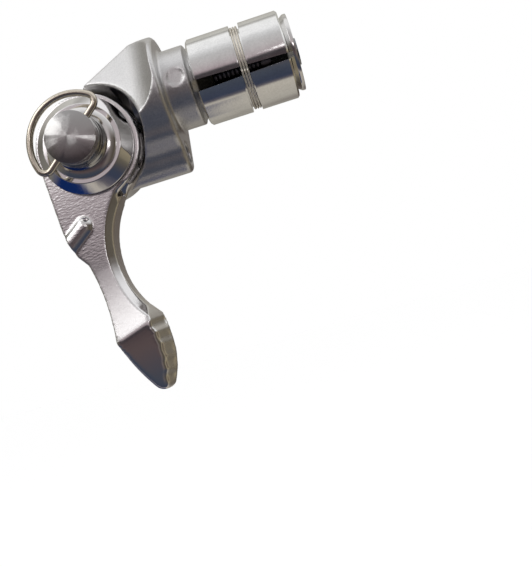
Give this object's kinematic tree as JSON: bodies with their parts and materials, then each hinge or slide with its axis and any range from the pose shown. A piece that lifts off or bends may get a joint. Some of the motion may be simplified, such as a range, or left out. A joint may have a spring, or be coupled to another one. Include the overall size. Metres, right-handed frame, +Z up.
{
  "type": "bar-end shifter",
  "caption": "Friction gear shifter that plugs into a drop handlebar's end: cast pod, hanging thumb lever, tension bolt with a wire ring, and an expanding plug.",
  "frame": {"origin": "on the plug's axis, in the plane of the shoulder that meets the end of the handlebar", "axes": "+X along the plug into the bar, +Z up with the lever hanging down, -Y towards the lever's bolt"},
  "size_m": [0.0652, 0.0289, 0.0788],
  "materials": {
    "cast_aluminium": "fine satin casting",
    "chrome": "polished, with fine brushing on the flats",
    "polished_steel": "polished",
    "turned_steel": "bright, with fine turning marks",
    "nickel_wire": "bright wire, slightly warm",
    "dark_steel": "dark oiled steel",
    "turned_aluminium": "bright, turned",
    "friction_plastic": "plain moulded"
  },
  "bodies": {
    "pod": {"pod_body": "cast_aluminium", "pivot_stud": "polished_steel", "inner_friction_washer": "friction_plastic", "outer_friction_washer": "friction_plastic", "pressure_cup": "chrome", "spring_washer": "dark_steel", "thrust_washer": "polished_steel", "expander_washer": "dark_steel", "retaining_ring": "nickel_wire"},
    "lever": {"lever": "chrome", "lever_bush": "friction_plastic"},
    "tension_bolt": {"tension_bolt": "turned_steel"},
    "d_ring": {"d_ring": "nickel_wire"},
    "expander_bolt": {"expander_bolt": "dark_steel"},
    "wedge_nut": {"wedge_nut": "turned_aluminium"},
    "segment_1": {"clamp_segment_1": "turned_aluminium"},
    "segment_2": {"clamp_segment_2": "turned_aluminium"},
    "segment_3": {"clamp_segment_3": "turned_aluminium"}
  },
  "joints": [
    {"name": "lever_swing", "type": "hinge", "parent": "pod", "child": "lever", "pos_m": [-0.022, 0, -0.0068], "axis": [0, 1, 0], "range_deg": [0, 105]},
    {"name": "tension_bolt_turn", "type": "hinge", "parent": "pod", "child": "tension_bolt", "pos_m": [-0.022, 0, -0.0068], "axis": [0, -1, 0], "range_deg": [-120, 120]},
    {"name": "d_ring_flip", "type": "hinge", "parent": "tension_bolt", "child": "d_ring", "pos_m": [-0.022, -0.01185, -0.0068], "axis": [0.7705, 0, 0.6374], "range_deg": [-20, 200]},
    {"name": "expander_bolt_turn", "type": "hinge", "parent": "pod", "child": "expander_bolt", "pos_m": [0, 0, 0], "axis": [1, 0, 0], "range_deg": [0, 585]},
    {"name": "wedge_nut_slide", "type": "slide", "parent": "pod", "child": "wedge_nut", "axis": [-1, 0, 0], "range_m": [0, 0.0016], "deforming": ["retaining_ring"]},
    {"name": "segment_1_slide", "type": "slide", "parent": "pod", "child": "segment_1", "axis": [-0.8192, -0.4439, 0.3633], "range_m": [0, 0.00106]},
    {"name": "segment_2_slide", "type": "slide", "parent": "pod", "child": "segment_2", "axis": [-0.8192, 0.5365, 0.2027], "range_m": [0, 0.00106]},
    {"name": "segment_3_slide", "type": "slide", "parent": "pod", "child": "segment_3", "axis": [-0.8192, -0.0927, -0.566], "range_m": [0, 0.00106]}
  ],
  "couplings": [
    {"joint": "expander_bolt_turn", "follows": "wedge_nut_slide", "rad_per_m": 6283.2},
    {"joint": "segment_1_slide", "follows": "wedge_nut_slide", "ratio": 0.61039},
    {"joint": "segment_2_slide", "follows": "wedge_nut_slide", "ratio": 0.61039},
    {"joint": "segment_3_slide", "follows": "wedge_nut_slide", "ratio": 0.61039}
  ]
}
